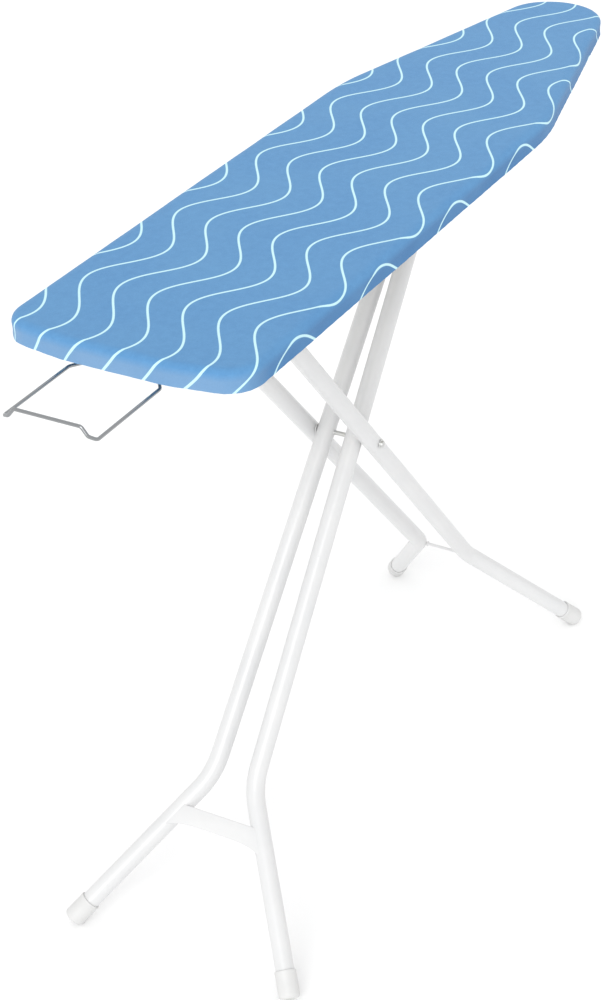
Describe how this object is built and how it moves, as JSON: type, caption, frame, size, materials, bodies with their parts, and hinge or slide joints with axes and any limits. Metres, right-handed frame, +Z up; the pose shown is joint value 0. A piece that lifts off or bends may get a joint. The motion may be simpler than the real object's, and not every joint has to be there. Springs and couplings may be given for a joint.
{
  "type": "ironing board",
  "caption": "Folding ironing board: padded cloth-covered steel deck on crossed white tube legs, with a pull-out wire rest for the iron.",
  "frame": {"origin": "on the floor, under the middle of the whole length and width with the legs open and the rest drawn out", "axes": "+X along the board from the square end to the nose, +Y to the left seen from the square end, +Z up"},
  "size_m": [1.375, 0.3404, 0.9],
  "materials": {
    "cover_fabric": "woven cotton",
    "elastic": "knitted elastic",
    "pad_foam": "felt and foam",
    "white_paint": "gloss powder coat",
    "zinc_steel": "bright zinc",
    "chrome_wire": "bright chrome",
    "white_plastic": "moulded polyethylene",
    "grey_plastic": "moulded nylon"
  },
  "bodies": {
    "deck": {"cover": "cover_fabric", "hem_elastic": "elastic", "pad": "pad_foam", "deck_panel": "white_paint", "deck_rim": "white_paint", "cross_ribs": "white_paint", "hinge_bracket_left": "zinc_steel", "hinge_bracket_right": "zinc_steel", "hinge_axle": "zinc_steel", "hinge_axle_caps": "zinc_steel", "slide_rail_left": "zinc_steel", "slide_rail_right": "zinc_steel", "rail_rivets": "zinc_steel", "rest_hanger": "zinc_steel", "rest_clip_left": "grey_plastic", "rest_clip_right": "grey_plastic", "rest_rivets": "zinc_steel", "lever_pin": "zinc_steel", "lever_spring": "zinc_steel"},
    "outer_leg": {"outer_leg_tube_left": "white_paint", "outer_leg_tube_right": "white_paint", "brace_rod": "white_paint", "pivot_rod": "zinc_steel", "pivot_caps": "zinc_steel", "pivot_spacers": "white_plastic", "outer_foot_cap_left": "white_plastic", "outer_foot_cap_right": "white_plastic"},
    "inner_leg": {"inner_leg_tube_left": "white_paint", "inner_leg_tube_right": "white_paint", "crossbar_plate": "white_paint", "slide_rod": "zinc_steel", "slide_bush_left": "grey_plastic", "slide_bush_right": "grey_plastic", "inner_foot_cap_left": "white_plastic", "inner_foot_cap_right": "white_plastic"},
    "lever": {"release_lever": "zinc_steel", "lever_grip": "grey_plastic"},
    "iron_rest": {"iron_rest_wire": "chrome_wire"}
  },
  "joints": [
    {"name": "outer_fold", "type": "hinge", "parent": "deck", "child": "outer_leg", "pos_m": [-0.30454, 0, 0.835], "axis": [0, -1, 0], "range_deg": [0, 45.6]},
    {"name": "inner_fold", "type": "hinge", "parent": "outer_leg", "child": "inner_leg", "pos_m": [-0.0481, 0, 0.5438], "axis": [0, 1, 0], "range_deg": [0, 91.2]},
    {"name": "rest_slide", "type": "slide", "parent": "deck", "child": "iron_rest", "axis": [1, 0, 0], "range_m": [0, 0.094]},
    {"name": "lever_squeeze", "type": "hinge", "parent": "deck", "child": "lever", "pos_m": [0.18934, 0, 0.857], "axis": [0, 1, 0], "range_deg": [0, 7], "stiffness_Nm_per_rad": 1.5, "springref_deg": -5.73}
  ],
  "couplings": [
    {"joint": "inner_fold", "follows": "outer_fold", "ratio": 2}
  ]
}
